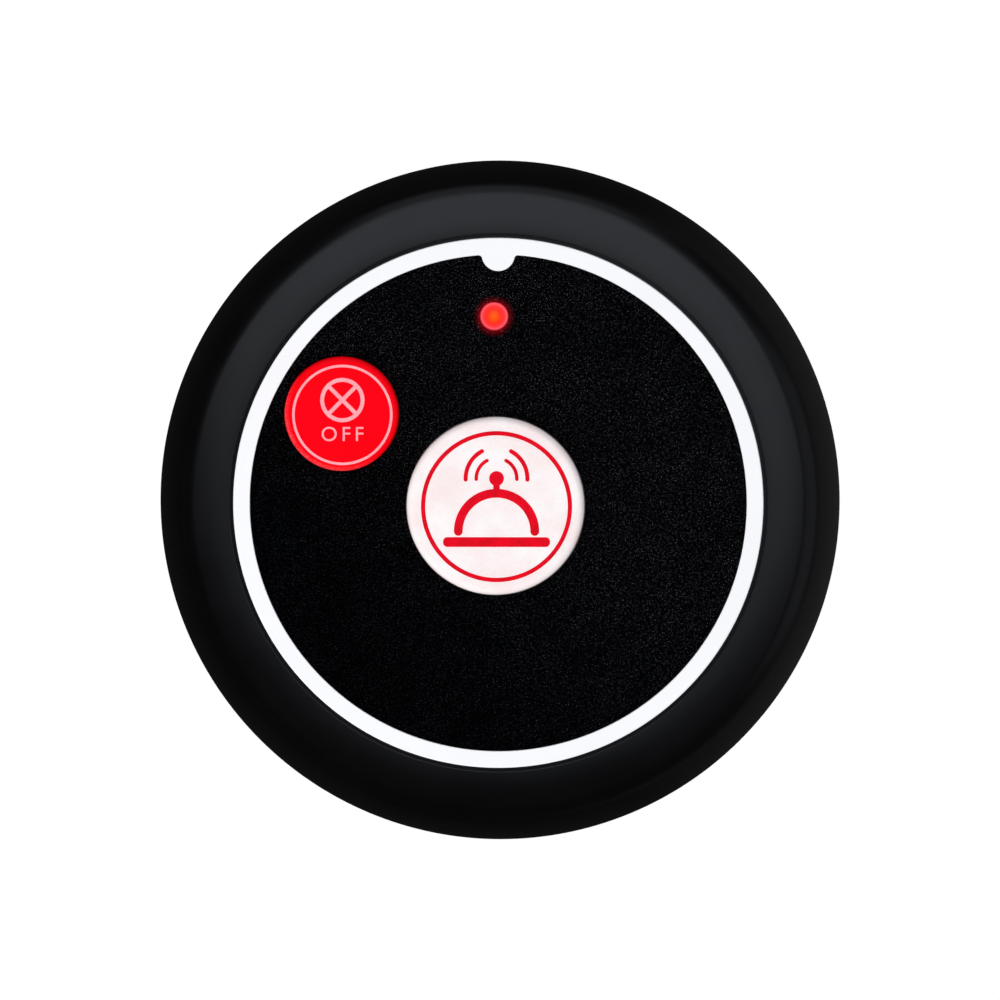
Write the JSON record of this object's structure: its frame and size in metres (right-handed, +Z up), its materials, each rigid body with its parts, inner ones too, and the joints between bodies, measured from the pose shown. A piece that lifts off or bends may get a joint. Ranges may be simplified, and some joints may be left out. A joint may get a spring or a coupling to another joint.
{
  "type": "wireless call button",
  "caption": "Round table-top wireless call button with a large centre key, a small side key, an indicator lamp, a coin-shaped housing and a twist-off base plate.",
  "frame": {"origin": "on the table, under the centre of the round housing", "axes": "+Z up out of the face, +Y towards the edge of the face that has the lamp, +X to the right as read"},
  "size_m": [0.074, 0.074, 0.0169],
  "materials": {
    "black_abs": "fine satin moulded black plastic",
    "white_abs": "smooth moulded white plastic",
    "black_film": "black film with a fine grained face",
    "rubber_pad": "soft black rubber",
    "white_key": "fine grained white plastic",
    "red_key": "fine grained red plastic",
    "board_laminate": "green lacquered glass laminate",
    "switch_plastic": "moulded black plastic",
    "plunger_plastic": "moulded black plastic",
    "spring_steel": "bright spring steel",
    "tinned_metal": "tinned",
    "lamp_epoxy": "clear red epoxy",
    "chip_plastic": "moulded black epoxy",
    "resonator_can": "drawn plated can",
    "capacitor_ceramic": "fired tan ceramic",
    "copper_wire": "enamelled copper wire",
    "battery_can": "plated steel",
    "battery_sleeve": "shrunk plain dark blue sleeve",
    "screw_steel": "zinc plated"
  },
  "bodies": {
    "housing": {"upper_housing": "black_abs", "lower_housing": "black_abs", "trim_disc": "white_abs", "face_overlay": "black_film", "circuit_board": "board_laminate", "call_switch_case": "switch_plastic", "call_switch_dome": "spring_steel", "call_switch_cover": "spring_steel", "call_switch_pins": "tinned_metal", "cancel_switch_case": "switch_plastic", "cancel_switch_dome": "spring_steel", "cancel_switch_cover": "spring_steel", "cancel_switch_pins": "tinned_metal", "indicator_lamp": "lamp_epoxy", "lamp_leads": "tinned_metal", "encoder_chip": "chip_plastic", "encoder_chip_leads": "tinned_metal", "rf_resonator": "resonator_can", "rf_transistor": "chip_plastic", "chip_capacitors": "capacitor_ceramic", "chip_resistors": "chip_plastic", "chip_terminals": "tinned_metal", "antenna_coil": "copper_wire", "tuning_coil": "copper_wire", "battery_cell": "battery_can", "battery_jacket": "battery_sleeve", "positive_contact": "tinned_metal", "negative_contact": "tinned_metal", "contact_spring": "spring_steel", "housing_screws": "screw_steel", "board_screws": "screw_steel"},
    "call_button": {"call_button": "white_key", "call_switch_plunger": "plunger_plastic"},
    "cancel_button": {"cancel_button": "red_key", "cancel_switch_plunger": "plunger_plastic"},
    "base": {"base_plate": "black_abs", "anti_slip_ring": "rubber_pad"}
  },
  "joints": [
    {"name": "call_press", "type": "slide", "parent": "housing", "child": "call_button", "axis": [0, 0, -1], "range_m": [0, 0.0003], "stiffness_N_per_m": 2000, "springref_m": -0.0006, "deforming": ["call_switch_dome"]},
    {"name": "cancel_press", "type": "slide", "parent": "housing", "child": "cancel_button", "axis": [0, 0, -1], "range_m": [0, 0.0003], "stiffness_N_per_m": 2000, "springref_m": -0.0006, "deforming": ["cancel_switch_dome"]},
    {"name": "base_twist", "type": "hinge", "parent": "housing", "child": "base", "pos_m": [0, 0, 0], "axis": [0, 0, 1], "range_deg": [-20, 0]}
  ]
}
